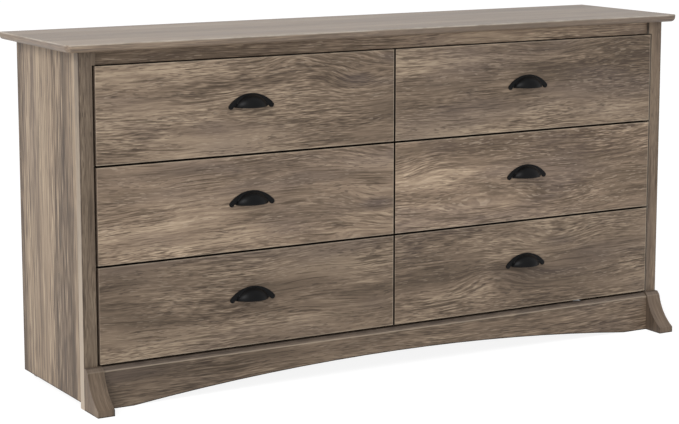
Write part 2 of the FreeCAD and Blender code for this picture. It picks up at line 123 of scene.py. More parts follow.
# Weathered oak laminate: printed paper with an embossed grain, sealed matt. The eye gets soft patches of
# brown and beige, bands that bend round knots, and short crisp marks that follow them.
oak = {
    "lies": {  # turns that bring a board's grain to X and its width to Y
        "front": (-math.pi / 2, 0, 0),
        "top": (0, 0, 0),
        "side": (0, math.pi / 2, 0),
        "post": (math.pi / 2, 0, math.pi / 2),
    },
    "tones": [
        (0.08, "#4E4035"), (0.30, "#675849"), (0.50, "#806E5D"), (0.70, "#978470"), (0.92, "#B29E87"),
    ],
    "marks": [  # length and width in mm, detail, weight in the tone, and how much it comes and goes
        (700, 110, 2.0, 1.30, 0.0),
        (300, 24, 3.0, 0.66, 0.0),
        (90, 5.0, 2.0, 0.56, 0.5),
        (26, 2.0, 1.0, 0.94, 0.7),
    ],
    "markRoughness": 0.55,
    "patchSize": (260, 40),  # mm: marks come and go in patches, whose width has a mark's length added
    "patchRange": (0.36, 0.64),
    "inks": [  # tint, length and width in mm, where it starts, share, height
        ("#43372E", 16, 2.0, 0.60, 0.56, -0.8),  # pores, and pores with lime in them
        ("#B9A793", 15, 2.0, 0.62, 0.30, 0.5),
        ("#433629", 100, 2.6, 0.59, 0.68, -0.5),  # veins
    ],
    "inkEdge": 0.11,  # from where an ink starts to its full share
    "crowdSize": (150, 20),  # mm: inks crowd in patches, whose width has half an ink's length added
    "crowdRange": (0.36, 0.60),
    "drift": [(620, 190, 24), (140, 45, 5)],  # length and width in mm, and how far the fibres wander, mm
    "knotSpacing": (420, 130),  # mm
    "knotRadius": 0.42,  # of the spacing, as far as the fibres bend
    "knotLift": 21,  # mm that the fibres bend round a knot
    "sideSize": (500, 170),  # mm: stretches in which they bend to one side
    "sideRange": (0.3, 0.7),
    "shade": "#675A54",  # purplish grey weathering, in slow patches
    "shadeShare": 0.38,
    "shadeSize": (360, 90),  # mm
    "shadeRange": (0.48, 0.70),
    "knot": "#4B4140",  # smoky, a little purple
    "knotShare": 0.6,
    "knotHeart": (0.02, 0.16),  # of the spacing: full tint up to the first, none past the second
    "sheen": 0.3,  # the plain sealer's specular level
    "roughness": 0.56,
    "roughSpread": 0.14,  # from the lowest emboss to the highest
    "polish": 0.3,  # roughness that a unit of sheen takes away
    "relief": (0.5, 0.00045),
    "endTurn": 0.7,  # a face whose normal has more than this along the grain is an end
    "flatTurn": (0.69, 0.71),  # and across the grain: from a curved face to a flat one
}


def oakPrint(tree, board, contrast, wild, stretch):
    # The print's colour and emboss height. The tone is a sum of noises drawn out along the fibres, which lie
    # along X and are bent across by drift and knots: y' = y + wild (drift + lift (1 - d / radius)), with d
    # the distance from a knot
    def cells(size):
        # how many of a length and width in mm lie in a metre
        length, width = size
        return [1 / (span * millimetre) for span in (length * stretch, width, width)]

    def marks(place, size, detail=1.0):
        return drawnNoise(tree, place, cells(size), detail, oak["markRoughness"])

    def patches(place, size, values, start, end, detail=1.0):
        # smoothly from start to end, as marks of that size go through the values
        low, high = values
        return addNode(tree, "ShaderNodeMapRange",
                       {"interpolation_type": "SMOOTHSTEP", "From Min": low, "From Max": high,
                        "To Min": start, "To Max": end}, {"Value": marks(place, size, detail)})

    scaled = addNode(tree, "ShaderNodeVectorMath", {"operation": "MULTIPLY", 1: cells(oak["knotSpacing"])},
                     {0: board})
    knots = addNode(tree, "ShaderNodeTexVoronoi", {"voronoi_dimensions": "2D", "Scale": 1.0},
                    {"Vector": scaled})
    lift = addNode(tree, "ShaderNodeMapRange",
                   {**fadeOut, "From Max": oak["knotRadius"], "To Min": oak["knotLift"] * wild * millimetre},
                   {"Value": knots})
    side = patches(board, oak["sideSize"], oak["sideRange"], -1, 1, detail=0.0)
    bend = addNode(tree, "ShaderNodeMath", {"operation": "MULTIPLY"}, {0: lift, 1: side})
    for length, width, wander in oak["drift"]:
        bend = addNode(tree, "ShaderNodeMath",
                       {"operation": "MULTIPLY_ADD", 1: 2 * wander * wild * millimetre},
                       {0: marks(board, (length, width)), 2: bend})
    shift = addNode(tree, "ShaderNodeCombineXYZ", None, {"Y": bend})
    fibre = addNode(tree, "ShaderNodeVectorMath", {"operation": "ADD"}, {0: board, 1: shift})

    tone = None
    patchLength, patchWidth = oak["patchSize"]
    for length, width, detail, weight, patchy in oak["marks"]:
        layer = marks(fibre, (length, width), detail)
        centred = addNode(tree, "ShaderNodeMath", {"operation": "SUBTRACT", 1: 0.5}, {0: layer})
        amount = weight * contrast
        links = {0: centred}
        if patchy:
            links[1] = patches(fibre, (patchLength, patchWidth + length), oak["patchRange"],
                               amount * (1 - patchy), amount * (1 + patchy))
        if tone is not None:
            links[2] = tone
        tone = addNode(tree, "ShaderNodeMath", {"operation": "MULTIPLY_ADD", 1: amount, 2: 0.5}, links)
    colour = addNode(tree, "ShaderNodeValToRGB", {"stops": oak["tones"]}, {"Fac": tone}).outputs[0]
    shade = patches(board, oak["shadeSize"], oak["shadeRange"], 0.0, oak["shadeShare"], detail=2.0)
    colour = overlay(tree, colour, oak["shade"], shade)
    full, none = oak["knotHeart"]
    heart = addNode(tree, "ShaderNodeMapRange",
                    {**fadeOut, "From Min": full, "From Max": none, "To Min": oak["knotShare"] * wild},
                    {"Value": knots})
    colour = overlay(tree, colour, oak["knot"], heart, side)

    # The inks are drawn 2 mm wide and more, so that they show
    emboss = layer  # the finest marks
    crowdLength, crowdWidth = oak["crowdSize"]
    for tint, length, width, low, share, height in oak["inks"]:
        shape = patches(fibre, (length, width), (low, low + oak["inkEdge"]), 0.0, share * min(contrast, 1),
                        detail=0.0)
        crowd = patches(fibre, (crowdLength, crowdWidth + length / 2), oak["crowdRange"], 0.0, 1.0)
        drawn = addNode(tree, "ShaderNodeMath", {"operation": "MULTIPLY"}, {0: shape, 1: crowd})
        colour = overlay(tree, colour, tint, drawn)
        emboss = addNode(tree, "ShaderNodeMath", {"operation": "MULTIPLY_ADD", 1: height},
                         {0: drawn, 2: emboss})
    return colour, emboss


def weatheredOak(name, node, lie, place, level=1.0, contrast=1.0, wild=1.0, stretch=1.0, sheen=oak["sheen"],
                 slope=1.0, tintLayers=()):
    # place is where the board is cut from the print, in metres, and slope the share of the depth that counts
    # on a curved face, where the print lies along it. tintLayers are functions (tree, where, colour) that
    # give a colour, laid over the print in turn: mostly painted highlights, painted shade and painted
    # reflection, and the bare chipboard of rear edges.
    material, tree, own = newMaterial(name)
    normal = own.node.outputs["Normal"]
    turn = oak["lies"][lie]
    board = addNode(tree, "ShaderNodeMapping", {"Rotation": turn, "Location": place}, {"Vector": own})
    parts = addNode(tree, "ShaderNodeSeparateXYZ", None, {0: board}).outputs
    turned = addNode(tree, "ShaderNodeMapping", {"Rotation": turn}, {"Vector": normal})
    turned = addNode(tree, "ShaderNodeSeparateXYZ", None, {0: turned}).outputs
    if slope == 1:
        # An end's edge band has its fibres along the edge: (y, z, x) in place of (x, y, z)
        along = addNode(tree, "ShaderNodeCombineXYZ", None, {0: parts[1], 1: parts[2], 2: parts[0]})
        end = addNode(tree, "ShaderNodeMath", {"operation": "ABSOLUTE"}, {0: turned[0]})
        end = addNode(tree, "ShaderNodeMath", {"operation": "GREATER_THAN", 1: oak["endTurn"]}, {0: end})
        laid = addNode(tree, "ShaderNodeMix", {"data_type": "VECTOR"},
                       {0: end, 4: board, 5: along}).outputs[1]
    else:
        curved, flat = oak["flatTurn"]
        across = addNode(tree, "ShaderNodeMath", {"operation": "ABSOLUTE"}, {0: turned[1]})
        share = addNode(tree, "ShaderNodeMapRange", {"From Min": curved, "From Max": flat, "To Min": slope},
                        {"Value": across})
        depth = addNode(tree, "ShaderNodeMath", {"operation": "MULTIPLY"}, {0: parts[2], 1: share})
        laid = addNode(tree, "ShaderNodeCombineXYZ", None, {0: parts[0], 1: parts[1], 2: depth})
    colour, emboss = oakPrint(tree, laid, contrast, wild, stretch)
    colour = addNode(tree, "ShaderNodeMix",
                     {"data_type": "RGBA", "blend_type": "MULTIPLY", 0: 1.0, 7: grey(level)},
                     {6: colour}).outputs[2]
    where = {
        "box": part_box(node),
        "own": own,
        "place": addNode(tree, "ShaderNodeSeparateXYZ", None, {0: own}).outputs,
        "facing": addNode(tree, "ShaderNodeSeparateXYZ", None, {0: normal}).outputs,
    }
    for tintLayer in tintLayers:
        colour = tintLayer(tree, where, colour)
    middle = oak["roughness"] - oak["roughSpread"] / 2 - oak["polish"] * (sheen - oak["sheen"])
    rough = addNode(tree, "ShaderNodeMath", {"operation": "MULTIPLY_ADD", 1: oak["roughSpread"], 2: middle},
                    {0: emboss})
    closeMaterial(tree, emboss, oak["relief"], {"Specular IOR Level": sheen},
                  {"Base Color": colour, "Roughness": rough})
    return material


# Tint layers laid over the print: painted highlights, painted shade and painted reflection at edges and
# faces, and the bare rear edges. where has the node's box, its own coordinates whole and split, and its
# normal split.
tintLayerSettings = {
    "patches": 28.0,  # cells in a metre, 36 mm each, in which an arris's painted light and shade is stronger or weaker
    "patchRange": (0.35, 0.6),
    "patchLeast": 0.45,
    "core": 0.3,  # of a line's reach, with the full share
    "archCore": 0.4,
    "arris": (0.6, 1.8),  # mm from a bevel's foot: full share up to the first, none past the second
    "bevelRise": 1.5,  # mm up a bevel to its full share
    "gapShadeStart": 1.4,  # mm behind a front's face to the full share of its painted gap shade
    "gapShadeShare": 0.96,
    "rebateTurn": -0.7,  # along y, past which a face looks forwards
    "rearTurn": 0.8,  # along y, past which a face looks back
    "sideTurn": 0.1,  # how far a tinted face may turn from its side
    "faceTurnBound": 0.5,
}


def edgeLines(lines):
    # Painted highlights and painted shade where sides of the node's box meet, stronger or weaker in patches,
    # each line (sides, reach, tint, share): the share falls to 0 at reach mm from all of the sides
    def tintLayer(tree, where, colour):
        patches = addNode(tree, "ShaderNodeTexNoise", {"Scale": tintLayerSettings["patches"], "Detail": 3.0},
                          {"Vector": where["own"]})
        low, high = tintLayerSettings["patchRange"]
        patches = addNode(tree, "ShaderNodeMapRange",
                          {"From Min": low, "From Max": high, "To Min": tintLayerSettings["patchLeast"]},
                          {"Value": patches})
        for sides, reach, tint, share in lines:
            far = None
            for axis, end in sides:
                gap = addNode(tree, "ShaderNodeMath", {"operation": "SUBTRACT", 1: where["box"][end][axis]},
                              {0: where["place"][axis]})
                gap = addNode(tree, "ShaderNodeMath", {"operation": "ABSOLUTE"}, {0: gap})
                if far is not None:
                    gap = addNode(tree, "ShaderNodeMath", {"operation": "MAXIMUM"}, {0: gap, 1: far})
                far = gap
            paintedArris = addNode(tree, "ShaderNodeMapRange",
                           {**fadeOut, "From Min": tintLayerSettings["core"] * reach * millimetre,
                            "From Max": reach * millimetre, "To Min": share}, {"Value": far})
            colour = overlay(tree, colour, tint, paintedArris, patches)
        return colour

    return tintLayer


def paintedGapShade(tint, sides):
    # Painted shade on the edge faces of some sides of a front, from just behind its face, so that the gaps
    # between fronts read dark
    def tintLayer(tree, where, colour):
        face = where["box"][0][1]
        depth = addNode(tree, "ShaderNodeMapRange",
                        {"interpolation_type": "SMOOTHSTEP", "From Min": face,
                         "From Max": face + tintLayerSettings["gapShadeStart"] * millimetre, "To Max": tintLayerSettings["gapShadeShare"]},
                        {"Value": where["place"][1]})
        for axis, end in sides:
            band = addNode(tree, "ShaderNodeMath",
                           {"operation": "COMPARE", 1: 2 * end - 1, 2: tintLayerSettings["faceTurnBound"]},
                           {0: where["facing"][axis]})
            colour = overlay(tree, colour, tint, depth, band)
        return colour

    return tintLayer


def bevelTone(height, line, band):
    # The bevel at the top of the node is height mm high: a greyer tone of its own, a painted reflection,
    # over a painted highlight on the arris at its foot. line and band are (tint, share), and the node's ends
    # have neither
    def tintLayer(tree, where, colour):
        foot = where["box"][1][2] - height * millimetre
        rise = addNode(tree, "ShaderNodeMath", {"operation": "SUBTRACT", 1: foot}, {0: where["place"][2]})
        away = addNode(tree, "ShaderNodeMath", {"operation": "ABSOLUTE"}, {0: rise})
        inner = addNode(tree, "ShaderNodeMath", {"operation": "COMPARE", 1: 0.0, 2: tintLayerSettings["faceTurnBound"]},
                        {0: where["facing"][0]})
        above = addNode(tree, "ShaderNodeMapRange",
                        {"From Max": tintLayerSettings["bevelRise"] * millimetre, "To Max": band[1]}, {"Value": rise})
        full, none = tintLayerSettings["arris"]
        arris = addNode(tree, "ShaderNodeMapRange",
                        {"From Min": full * millimetre, "From Max": none * millimetre, "To Min": line[1],
                         "To Max": 0.0}, {"Value": away})
        colour = overlay(tree, colour, band[0], above, inner)
        return overlay(tree, colour, line[0], arris, inner)

    return tintLayer


def archLine(arch, reach, tint, share):
    # Painted shade along the lower arris of the kick board, along z = sqrt(R^2 - x^2) - (R - rise) between
    # its two ends, where R = (half^2 + rise^2) / (2 rise)
    def tintLayer(tree, where, colour):
        low, high = where["box"]
        half = (high[0] - low[0]) / 2 - arch["endFlat"] * millimetre
        rise = arch["rise"] * millimetre
        radius = (half ** 2 + rise ** 2) / (2 * rise)
        x = where["place"][0]
        squared = addNode(tree, "ShaderNodeMath", {"operation": "MULTIPLY"}, {0: x, 1: x})
        inner = addNode(tree, "ShaderNodeMath", {"operation": "SUBTRACT", 0: radius ** 2}, {1: squared})
        curve = addNode(tree, "ShaderNodeMath", {"operation": "SQRT"}, {0: inner})
        curve = addNode(tree, "ShaderNodeMath", {"operation": "SUBTRACT", 1: radius - rise}, {0: curve})
        curve = addNode(tree, "ShaderNodeMath", {"operation": "MAXIMUM", 1: 0.0}, {0: curve})
        above = addNode(tree, "ShaderNodeMath", {"operation": "SUBTRACT"}, {0: where["place"][2], 1: curve})
        paintedArris = addNode(tree, "ShaderNodeMapRange",
                       {"From Min": tintLayerSettings["archCore"] * reach * millimetre, "From Max": reach * millimetre,
                        "To Min": share, "To Max": 0.0}, {"Value": above})
        return overlay(tree, colour, tint, paintedArris)

    return tintLayer


def rebateTone(depth, tint, share):
    # Behind the depth, in mm from the node's front, the post's face is a rebate that only its groove shows:
    # it is painted lighter, against the shade that falls in the groove
    def tintLayer(tree, where, colour):
        seat = where["box"][0][1] + depth * millimetre
        turned = addNode(tree, "ShaderNodeMath", {"operation": "LESS_THAN", 1: tintLayerSettings["rebateTurn"]},
                         {0: where["facing"][1]})
        behind = addNode(tree, "ShaderNodeMath", {"operation": "GREATER_THAN", 1: seat},
                         {0: where["place"][1]})
        behind = addNode(tree, "ShaderNodeMath", {"operation": "MULTIPLY", 1: share}, {0: behind})
        return overlay(tree, colour, tint, turned, behind)

    return tintLayer


def faceTone(side, tint, low, high):
    # Faces turned to one side get a tint of their own. low and high are (height in metres, share), and the
    # share changes evenly between them
    axis, end = side

    def tintLayer(tree, where, colour):
        turned = addNode(tree, "ShaderNodeMath",
                         {"operation": "COMPARE", 1: 2 * end - 1, 2: tintLayerSettings["sideTurn"]},
                         {0: where["facing"][axis]})
        share = addNode(tree, "ShaderNodeMapRange",
                        {"From Min": low[0], "From Max": high[0], "To Min": low[1], "To Max": high[1]},
                        {"Value": where["place"][2]})
        return overlay(tree, colour, tint, share, turned)

    return tintLayer


def toneDrift(start, end):
    # The colour's level changes evenly along the board, from start at its low x to end at its high x
    def tintLayer(tree, where, colour):
        low, high = [corner[0] for corner in where["box"]]
        level = addNode(tree, "ShaderNodeMapRange",
                        {"From Min": low, "From Max": high, "To Min": start, "To Max": end},
                        {"Value": where["place"][0]})
        return addNode(tree, "ShaderNodeVectorMath", {"operation": "SCALE"},
                       {0: colour, 3: level}).outputs[0]

    return tintLayer


def rawRear(tree, where, colour):
    # The rear edges of the case boards have no band: the chipboard shows
    bare = addNode(tree, "ShaderNodeMath", {"operation": "GREATER_THAN", 1: tintLayerSettings["rearTurn"]},
                   {0: where["facing"][1]})
    return addNode(tree, "ShaderNodeMix", {"data_type": "RGBA"},
                   {6: colour, 7: chipColour(tree, where["own"]), 0: bare}).outputs[2]


# Sawn chipboard without paper: pale flakes in brown dust, dull and open. In each material's dictionary,
# relief is how strongly the pattern's height shows, and its depth in metres.
chipboard = {
    "flakes": 300.0,  # cells in a metre, 3.3 mm each
    "flakeShare": 0.45,
    "dust": 420.0,  # cells in a metre, 2.4 mm each
    "pits": 380.0,
    "relief": (0.5, 0.0004),
    "tones": [(0.28, "#7C6246"), (0.48, "#A88C67"), (0.70, "#CDB28A")],
}


def chipColour(tree, own):
    flakes = addNode(tree, "ShaderNodeTexVoronoi", {"Scale": chipboard["flakes"]}, {"Vector": own})
    dust = addNode(tree, "ShaderNodeTexNoise", {"Scale": chipboard["dust"], "Detail": 3.0}, {"Vector": own})
    mixed = addNode(tree, "ShaderNodeMix", {0: chipboard["flakeShare"]},
                    {2: dust, 3: flakes.outputs["Color"]})
    return addNode(tree, "ShaderNodeValToRGB", {"stops": chipboard["tones"]}, {"Fac": mixed}).outputs[0]


def rawChipboard(name):
    material, tree, own = newMaterial(name)
    pits = addNode(tree, "ShaderNodeTexNoise", {"Scale": chipboard["pits"], "Detail": 2.0}, {"Vector": own})
    closeMaterial(tree, pits, chipboard["relief"], {"Roughness": 0.8, "Specular IOR Level": 0.2},
                  {"Base Color": chipColour(tree, own)})
    return material


# Linen paper printed on chipboard or hardboard: a fine weave, drawn coarse to show
linenPaper = {
    "threads": [(60.0, 60.0, 900.0), (900.0, 900.0, 60.0)],  # in a metre: 17 mm long and 1.1 mm apart
    "relief": (0.25, 0.0002),
    "clouds": 7.0,  # in a metre, 140 mm each
    "cloudShare": 0.25,
    "range": (0.7, 1.55),  # of the two weaves and the clouds together
    "places": (0.30, 0.55, 0.85),  # where the three tones lie on the ramp
}


def paperBoard(name, tones):
    material, tree, own = newMaterial(name)
    weave = [drawnNoise(tree, own, cells, 1.0) for cells in linenPaper["threads"]]
    weave = addNode(tree, "ShaderNodeMath", {"operation": "ADD"}, dict(enumerate(weave)))
    clouds = addNode(tree, "ShaderNodeTexNoise", {"Scale": linenPaper["clouds"], "Detail": 3.0},
                     {"Vector": own})
    mixed = addNode(tree, "ShaderNodeMath", {"operation": "MULTIPLY_ADD", 1: linenPaper["cloudShare"]},
                    {0: clouds, 2: weave})
    low, high = linenPaper["range"]
    tone = addNode(tree, "ShaderNodeMapRange", {"From Min": low, "From Max": high}, {"Value": mixed})
    colour = addNode(tree, "ShaderNodeValToRGB", {"stops": list(zip(linenPaper["places"], tones))},
                     {"Fac": tone})
    closeMaterial(tree, weave, linenPaper["relief"],
                  {"Roughness": 0.55, "Specular IOR Level": 0.35}, {"Base Color": colour})
    return material


# Wet-pressed wood fibre, tempered brown: soft clouds with dark and pale fibres
hardboard = {
    "clouds": 9.0,  # in a metre, 110 mm each
    "fibres": 240.0,  # in a metre, 4 mm each, drawn out by the distortion
    "distortion": 2.5,
    "fibreShare": 0.8,
    "relief": (0.3, 0.0003),
    "range": (0.6, 1.2),  # of the clouds and the fibres together
    "tones": [(0.25, "#674A33"), (0.50, "#77573C"), (0.80, "#896A4B")],
}


def rawHardboard(name):
    material, tree, own = newMaterial(name)
    clouds = addNode(tree, "ShaderNodeTexNoise",
                     {"Scale": hardboard["clouds"], "Detail": 5.0, "Roughness": 0.6}, {"Vector": own})
    fibres = addNode(tree, "ShaderNodeTexNoise",
                     {"Scale": hardboard["fibres"], "Detail": 2.0, "Distortion": hardboard["distortion"]},
                     {"Vector": own})
    mixed = addNode(tree, "ShaderNodeMath", {"operation": "MULTIPLY_ADD", 1: hardboard["fibreShare"]},
                    {0: fibres, 2: clouds})
    low, high = hardboard["range"]
    tone = addNode(tree, "ShaderNodeMapRange", {"From Min": low, "From Max": high}, {"Value": mixed})
    colour = addNode(tree, "ShaderNodeValToRGB", {"stops": hardboard["tones"]}, {"Fac": tone})
    closeMaterial(tree, fibres, hardboard["relief"], {"Roughness": 0.7, "Specular IOR Level": 0.3},
                  {"Base Color": colour})
    return material


# Rolled or cast metal with a thin zinc coat: a faint cloudy bloom and fine rolling lines
plating = {
    "bloom": 60.0,  # in a metre, 17 mm each
    "rolling": (900.0, 25.0, 900.0),  # in a metre: lines 40 mm long and 1.1 mm apart
    "relief": (0.12, 0.0001),
    "roughSpread": 0.2,
}


def platedMetal(name, dark, light, roughness):
    material, tree, own = newMaterial(name)
    bloom = addNode(tree, "ShaderNodeTexNoise", {"Scale": plating["bloom"], "Detail": 4.0}, {"Vector": own})
    lines = drawnNoise(tree, own, plating["rolling"], 2.0)
    colour = addNode(tree, "ShaderNodeValToRGB", {"stops": [(0.35, dark), (0.65, light)]}, {"Fac": bloom})
    spread = plating["roughSpread"]
    rough = addNode(tree, "ShaderNodeMath",
                    {"operation": "MULTIPLY_ADD", 1: spread, 2: roughness - spread / 2}, {0: lines})
    closeMaterial(tree, lines, plating["relief"], {"Metallic": 1.0},
                  {"Base Color": colour, "Roughness": rough})
    return material


# Die-cast zinc with a satin black stoved enamel: a fine orange peel, soft highlights
enamelCoat = {
    "peel": 650.0,  # cells in a metre, 1.5 mm each
    "relief": (0.12, 0.0002),
    "smears": 45.0,  # in a metre, 22 mm each
    "tones": [(0.30, "#0A0A0B"), (0.70, "#101011")],
    "roughness": 0.30,  # at its smoothest, and how much the smears add
    "roughSpread": 0.16,
    "gloss": 0.12,
}


def blackEnamel(name):
    material, tree, own = newMaterial(name)
    peel = addNode(tree, "ShaderNodeTexNoise", {"Scale": enamelCoat["peel"], "Detail": 2.0}, {"Vector": own})
    smears = addNode(tree, "ShaderNodeTexNoise", {"Scale": enamelCoat["smears"], "Detail": 3.0},
                     {"Vector": own})
    colour = addNode(tree, "ShaderNodeValToRGB", {"stops": enamelCoat["tones"]}, {"Fac": smears})
    rough = addNode(tree, "ShaderNodeMath",
                    {"operation": "MULTIPLY_ADD", 1: enamelCoat["roughSpread"], 2: enamelCoat["roughness"]},
                    {0: smears})
    closeMaterial(tree, peel, enamelCoat["relief"], {"Specular IOR Level": enamelCoat["gloss"]},
                  {"Base Color": colour, "Roughness": rough})
    return material


# Injection-moulded nylon, natural white: a slight bloom and flow lines along the strip
moulding = {
    "flow": (300.0, 20.0, 300.0),  # in a metre: lines 50 mm long and 3.3 mm apart
    "relief": (0.1, 0.0001),
    "tones": [(0.30, "#D8D5CB"), (0.70, "#E9E7DF")],
    "roughness": 0.42,
}


def mouldedNylon(name):
    material, tree, own = newMaterial(name)
    lines = drawnNoise(tree, own, moulding["flow"], 2.0)
    colour = addNode(tree, "ShaderNodeValToRGB", {"stops": moulding["tones"]}, {"Fac": lines})
    closeMaterial(tree, lines, moulding["relief"], {"Roughness": moulding["roughness"]},
                  {"Base Color": colour})
    return material


def dress(node, material):
    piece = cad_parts[node]
    if not piece.material_slots:
        piece.data.materials.append(material)
    for slot in piece.material_slots:
        slot.material = material


# Tints of painted highlights, painted shade and painted reflection at edges and faces, and a paler tint for
# the posts' outer faces
edge = {
    "light": "#C4B4A0",
    "pale": "#D6CCBE",
    "cream": "#D8C8B5",
    "dark": "#3B3029",
    "deep": "#120D0A",
    "bevel": "#6A615A",
    "groove": "#5C5046",
}
frontBevel = 7.5  # mm, on top of the kick board and the feet
kickArch = {"endFlat": 64.0, "rise": 35.0}  # mm
postRebate = 6.0  # mm behind a post's face

# Boards of the case: how each lies, where it is cut from the print, its level and contrast, how wild and how
# stretched the figure is, its sheen, and the slope of a curved one
boards = {
    "top_panel": dict(lie="top", place=(0.31, 2.2, 0.7), level=1.10, contrast=0.48, wild=0.5, stretch=1.5,
                      sheen=0.6),
    # the top rail's level is raised: painted light against the shade under the top's overhang
    "top_front_rail": dict(lie="front", place=(1.9, 0.4, 3.3), level=1.58, wild=0.6, stretch=1.3),
    "arched_kick_board": dict(lie="front", place=(4.1, 1.3, 5.2), level=0.90, wild=0.6, stretch=1.3),
    "left_side_panel": dict(lie="side", place=(0.6, 1.1, 2.4), level=1.06, contrast=1.5, wild=0.15,
                            stretch=2.4),
    "right_side_panel": dict(lie="side", place=(2.6, 3.1, 0.4), level=1.06, contrast=1.5, wild=0.15,
                             stretch=2.4),
    "left_front_post": dict(lie="post", place=(5.6, 0.1, 1.4), level=0.64, contrast=0.8, wild=0.3,
                            stretch=1.2),
    "right_front_post": dict(lie="post", place=(3.6, 4.1, 6.4), level=0.94, contrast=0.8, wild=0.3,
                             stretch=1.2),
    "left_bracket_foot": dict(lie="post", place=(1.6, 5.1, 2.9), level=0.90, contrast=0.6, wild=0.5,
                              stretch=1.6, slope=0.06),
    "right_bracket_foot": dict(lie="post", place=(7.6, 2.1, 1.9), level=0.84, contrast=0.6, wild=0.5,
                               stretch=1.6, slope=0.06),
    "centre_partition": dict(lie="side", place=(6.6, 3.7, 0.9), level=0.9, contrast=0.8, wild=0.3,
                             stretch=2.0),
    "rear_top_rail": dict(lie="front", place=(0.2, 6.1, 1.1), level=0.95, contrast=0.8, wild=0.6,
                          stretch=1.3),
    "rear_bottom_rail": dict(lie="front", place=(3.2, 0.3, 4.1), level=0.95, contrast=0.8, wild=0.6,
                             stretch=1.3),
}
caseTintLayers = {
    "top_panel": [
        # painted light: the top is lighter towards its left end; painted highlights along its front and end
        # arrises, and a greyer band along its rear arris
        toneDrift(1.02, 0.86),
        edgeLines([
            ((front, top), 3.6, edge["pale"], 0.6),
            ((lowX, top), 3.0, edge["pale"], 0.5),
            ((highX, top), 3.0, edge["pale"], 0.5),
            ((rear, top), 10.0, edge["bevel"], 0.5),
        ]),
        rawRear,
    ],
    "arched_kick_board": [
        toneDrift(0.78, 1.22),
        # painted reflection on the bevel, with a painted highlight at its foot; painted shade on the top,
        # under the drawers, and along the arch's lower arris
        bevelTone(frontBevel, (edge["light"], 0.42), (edge["bevel"], 0.35)),
        edgeLines([((top,), 5.5, edge["dark"], 0.7)]),
        archLine(kickArch, 2.6, edge["deep"], 0.8),
    ],
    "centre_partition": [rawRear],
}
for side, outer, inner in (("left", lowX, highX), ("right", highX, lowX)):
    caseTintLayers[side + "_side_panel"] = [
        # painted shade along the outer face's rear and bottom edges
        edgeLines([((outer, rear), 2.5, edge["dark"], 0.6), ((outer, bottom), 3.2, edge["dark"], 0.8)]),
        rawRear,
    ]
    caseTintLayers[side + "_front_post"] = [
        # a paler outer face, most at the bottom; painted light on the inner face and the rebate's seat,
        # against the shade in the groove; painted shade beside the rail and along the outer front arris
        faceTone(outer, edge["cream"], (0.0, 0.62), (0.7, 0.15)),
        faceTone(inner, edge["pale"], (0.0, 0.7), (0.7, 0.7)),
        faceTone(inner, edge["dark"], (0.6328, 0.0), (0.7, 0.85)),  # beside the rail only
        rebateTone(postRebate, edge["light"], 0.8),
        edgeLines([((outer, front), 3.2, edge["dark"], 0.75)]),
    ]
    caseTintLayers[side + "_bracket_foot"] = [
        # painted shade on the inner face; painted reflection on the bevel, with a faint painted highlight at
        # its foot; painted shade along the bottom and at the toe's front corner; dark lines along the top
        # and the outer face's rear edge
        faceTone(inner, edge["dark"], (0.0, 0.5), (0.7, 0.5)),
        bevelTone(frontBevel, (edge["light"], 0.12), (edge["bevel"], 0.25)),
        edgeLines([
            ((bottom,), 3.0, edge["deep"], 0.8),
            ((top,), 2.2, edge["dark"], 0.7),
            ((outer, rear), 2.6, edge["dark"], 0.8),
            ((highX, front), 4.0, edge["deep"], 0.8),
        ]),
    ]
for node, settings in boards.items():
    tintLayers = caseTintLayers.get(node, ())
    dress(node, weatheredOak("oakLaminate_" + node, node, **settings, tintLayers=tintLayers))
print("case boards dressed")

# Drawers
frontCuts = {  # where each front is cut from the print, and its level
    "upper_left": ((0.9, 2.1, 0.3), 1.09),
    "upper_right": ((3.7, 0.6, 1.9), 1.04),
    "middle_left": ((6.3, 4.4, 2.8), 1.31),
    "middle_right": ((1.8, 3.5, 5.2), 1.50),
    "lower_left": ((8.1, 1.3, 0.9), 0.92),
    "lower_right": ((5.4, 7.2, 4.6), 0.99),
}
# Painted highlights along the arrises of a front's face
frontHighlights = edgeLines([
    ((lowX, front), 2.4, edge["light"], 0.12),
    ((highX, front), 3.2, edge["light"], 0.45),
    ((top, front), 3.2, edge["light"], 0.35),
    ((bottom, front), 3.4, edge["light"], 0.40),
])
linenBoard = paperBoard("linenPaperBoard", ["#8C8276", "#A09688", "#B4AA9C"])
linenHardboard = paperBoard("linenPaperHardboard", ["#847A6D", "#988E80", "#AAA092"])
zincSteel = platedMetal("zincPlatedSteel", "#A9ACB0", "#C6C8CB", 0.36)
zincCast = platedMetal("dieCastZinc", "#8E9092", "#A8AAAC", 0.46)
enamel = blackEnamel("satinBlackEnamel")
boxMaterials = {
    "sides": linenBoard,
    "back": linenBoard,
    "bottom": linenHardboard,
    "runners": mouldedNylon("mouldedNylonRunner"),
    "fasteners": zincCast,
}
for stem, (place, level) in frontCuts.items():
    outer, inner = (lowX, highX) if stem.endswith("left") else (highX, lowX)
    tintLayers = [
        # painted shade on the outer edge face, in the groove by the post; painted highlights on the front
        # arrises; painted shade on the top, bottom and inner edge faces, in the gaps
        faceTone(outer, edge["groove"], (0.0, 0.9), (0.7, 0.9)),
        frontHighlights,
        paintedGapShade(edge["deep"], (top, bottom, inner)),
    ]
    dress(stem + "_front", weatheredOak("oakLaminate_" + stem, stem + "_front", "front", place, level,
                                        tintLayers=tintLayers))
    for part, material in boxMaterials.items():
        dress(stem + "_" + part, material)
dress("back_panel", rawHardboard("rawHardboardBack"))
dress("runner_packers", rawChipboard("rawChipboard"))
dress("cam_fittings", zincCast)
for node in ("runner_tracks", "case_screws", "back_panel_nails"):
    dress(node, zincSteel)
print("drawers and hardware dressed")


# Meshes from whole arrays


